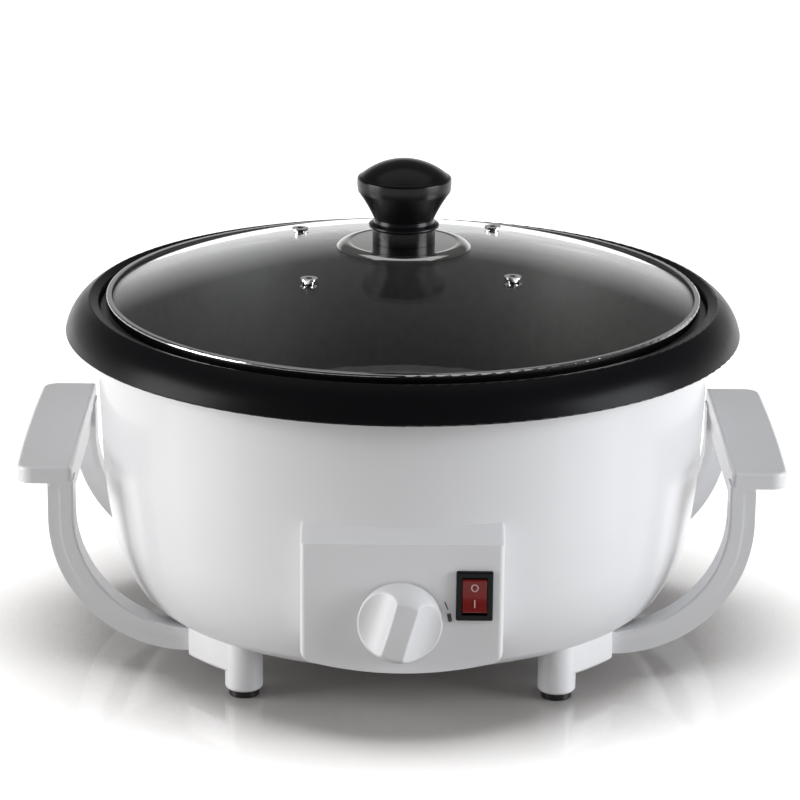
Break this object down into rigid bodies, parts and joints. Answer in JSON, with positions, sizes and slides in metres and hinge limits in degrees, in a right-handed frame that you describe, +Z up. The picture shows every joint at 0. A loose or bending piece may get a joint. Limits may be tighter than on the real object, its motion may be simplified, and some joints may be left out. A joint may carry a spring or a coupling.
{
  "type": "coffee roaster",
  "caption": "Electric stirred coffee roaster: round white casing, black rim, loose domed glass lid with knob, loop handles, front panel with temperature dial and rocker switch.",
  "frame": {"origin": "on the surface that the feet stand on, under the middle of the outline, which is the stirrer's axis in X and 1.8 mm from it in Y", "axes": "+Z up, the control panel faces -Y, +X to the right of a person facing the panel"},
  "size_m": [0.3302, 0.2977, 0.2149],
  "materials": {
    "white_shell": "moulded white, fine satin gloss",
    "black_rim": "heat-proof black phenolic, satin",
    "black_rubber": "moulded rubber",
    "clear_glass": "tempered, clear",
    "bright_steel": "polished stainless",
    "grey_silicone": "silicone",
    "black_knob": "glossy black phenolic",
    "pan_metal": "aluminium, dark non-stick coat",
    "dark_steel": "sheathed heater tube",
    "zinc_steel": "zinc-plated sheet and screws",
    "stirrer_steel": "ground stainless",
    "stirrer_plastic": "glass-filled heat-proof plastic",
    "acetal": "natural acetal",
    "gearbox_plastic": "grey moulding",
    "iron": "laminated iron",
    "magnet": "ferrite",
    "copper_coil": "wound copper",
    "bronze": "sintered bronze",
    "white_dial": "glossy white",
    "black_switch": "black nylon",
    "red_rocker": "dark red",
    "ceramic": "white steatite"
  },
  "bodies": {
    "casing": {"body_shell": "white_shell", "base_cover": "white_shell", "control_panel": "white_shell", "handle_left": "white_shell", "handle_right": "white_shell", "rim_bezel": "black_rim", "foot_front_left": "black_rubber", "foot_front_right": "black_rubber", "foot_rear_right": "black_rubber", "foot_rear_left": "black_rubber", "roasting_pan": "pan_metal", "heating_element": "dark_steel", "element_terminals": "zinc_steel", "element_clips": "zinc_steel", "heat_shield": "zinc_steel", "gearbox_tray": "gearbox_plastic", "gearbox_cover": "zinc_steel", "idler_pin": "zinc_steel", "stator_stack": "iron", "stator_coil": "copper_coil", "gearbox_bush": "bronze", "pan_bush": "bronze", "shaft_seal": "grey_silicone", "thermostat": "ceramic", "switch_body": "black_switch", "cable_gland": "black_switch", "gland_nut": "black_switch", "terminal_block": "ceramic", "thermal_fuse": "zinc_steel", "fuse_clip": "zinc_steel", "base_screws": "zinc_steel", "handle_screws": "zinc_steel", "shield_screws": "zinc_steel", "gearbox_screws": "zinc_steel", "panel_screws": "zinc_steel"},
    "lid": {"glass_lid": "clear_glass", "lid_ring": "bright_steel", "lid_gasket": "grey_silicone", "vent_grommets": "bright_steel", "knob_cup": "bright_steel", "lid_knob": "black_knob", "lid_seal": "grey_silicone", "lid_screw": "zinc_steel"},
    "dial": {"temperature_dial": "white_dial", "dial_shaft": "zinc_steel"},
    "rocker": {"switch_rocker": "red_rocker"},
    "stirrer": {"drive_shaft": "stirrer_steel", "output_gear": "acetal", "stirrer_hub": "stirrer_plastic", "paddle_long": "stirrer_steel", "paddle_short": "stirrer_steel"},
    "idler": {"idler_gear": "acetal"},
    "rotor": {"magnet_rotor": "magnet"}
  },
  "joints": [
    {"name": "lid_lift", "type": "slide", "parent": "casing", "child": "lid", "axis": [0, 0, 1], "range_m": [0, 0.12]},
    {"name": "dial_turn", "type": "hinge", "parent": "casing", "child": "dial", "pos_m": [-0.0008, -0.1377, 0.054], "axis": [0, 1, 0], "range_deg": [0, 270]},
    {"name": "rocker_tilt", "type": "hinge", "parent": "casing", "child": "rocker", "pos_m": [0.0294, -0.1334, 0.0658], "axis": [1, 0, 0], "range_deg": [0, 12]},
    {"name": "stirrer_spin", "type": "hinge", "parent": "casing", "child": "stirrer", "pos_m": [0, 0, 0.05], "axis": [0, 0, 1], "continuous": true},
    {"name": "idler_spin", "type": "hinge", "parent": "casing", "child": "idler", "pos_m": [0.02416, 0, 0.032], "axis": [0, 0, 1], "continuous": true},
    {"name": "rotor_spin", "type": "hinge", "parent": "casing", "child": "rotor", "pos_m": [0.04832, 0, 0.032], "axis": [0, 0, 1], "continuous": true}
  ],
  "couplings": [
    {"joint": "idler_spin", "follows": "stirrer_spin", "ratio": -3},
    {"joint": "rotor_spin", "follows": "stirrer_spin", "ratio": 9}
  ]
}
